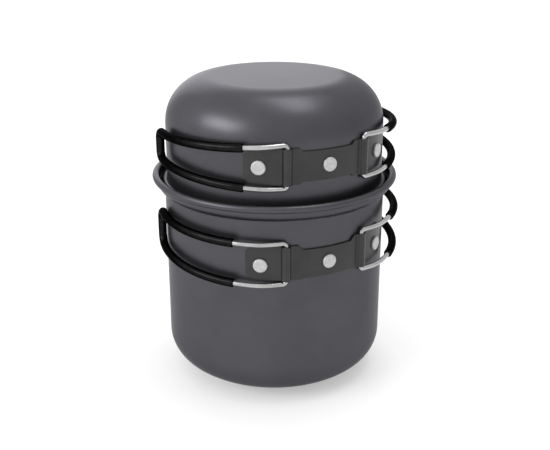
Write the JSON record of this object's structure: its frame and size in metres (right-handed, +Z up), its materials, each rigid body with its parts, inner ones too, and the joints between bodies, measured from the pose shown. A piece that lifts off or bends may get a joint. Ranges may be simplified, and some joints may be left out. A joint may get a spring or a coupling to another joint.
{
  "type": "cooking pot set",
  "caption": "Camping cook set: a deep aluminium pot with a rolled rim and a smaller pan stored upside down as its lid, each with folding sleeved wire handles.",
  "frame": {"origin": "centre of the pot's flat base, on the surface it stands on", "axes": "+Z up through the pot and the upturned pan; -Y towards the middle of both handle brackets; +X to the right seen from the brackets"},
  "size_m": [0.1267, 0.1248, 0.1558],
  "materials": {
    "hard_anodised": "satin dark grey hard-anodised aluminium",
    "strip_metal": "semi-gloss dark grey coated sheet",
    "rivet_metal": "bright bare aluminium, set by a hammer",
    "handle_wire": "bright drawn stainless wire",
    "vinyl_sleeve": "glossy black vinyl tube"
  },
  "bodies": {
    "pot": {"pot_body": "hard_anodised", "pot_handle_bracket": "strip_metal", "pot_rivet_left": "rivet_metal", "pot_rivet_centre": "rivet_metal", "pot_rivet_right": "rivet_metal"},
    "pan": {"pan_body": "hard_anodised", "pan_handle_bracket": "strip_metal", "pan_rivet_left": "rivet_metal", "pan_rivet_centre": "rivet_metal", "pan_rivet_right": "rivet_metal"},
    "pot_handle_left": {"pot_wire_left": "handle_wire", "pot_sleeve_left": "vinyl_sleeve"},
    "pot_handle_right": {"pot_wire_right": "handle_wire", "pot_sleeve_right": "vinyl_sleeve"},
    "pan_handle_left": {"pan_wire_left": "handle_wire", "pan_sleeve_left": "vinyl_sleeve"},
    "pan_handle_right": {"pan_wire_right": "handle_wire", "pan_sleeve_right": "vinyl_sleeve"}
  },
  "joints": [
    {"name": "pan_lift", "type": "slide", "parent": "pot", "child": "pan", "axis": [0, 0, 1], "range_m": [0, 0.06]},
    {"name": "pot_handle_left_fold", "type": "hinge", "parent": "pot", "child": "pot_handle_left", "pos_m": [-0.02108, -0.05349, 0.0779], "axis": [0, 0, 1], "range_deg": [0, 148.3]},
    {"name": "pot_handle_right_fold", "type": "hinge", "parent": "pot", "child": "pot_handle_right", "pos_m": [0.01965, -0.05404, 0.0779], "axis": [0, 0, -1], "range_deg": [-3, 144.9]},
    {"name": "pan_handle_left_fold", "type": "hinge", "parent": "pan", "child": "pan_handle_left", "pos_m": [-0.02012, -0.05248, 0.1247], "axis": [0, 0, 1], "range_deg": [-1, 148.1]},
    {"name": "pan_handle_right_fold", "type": "hinge", "parent": "pan", "child": "pan_handle_right", "pos_m": [0.02031, -0.0524, 0.1247], "axis": [0, 0, -1], "range_deg": [-2, 147]}
  ]
}
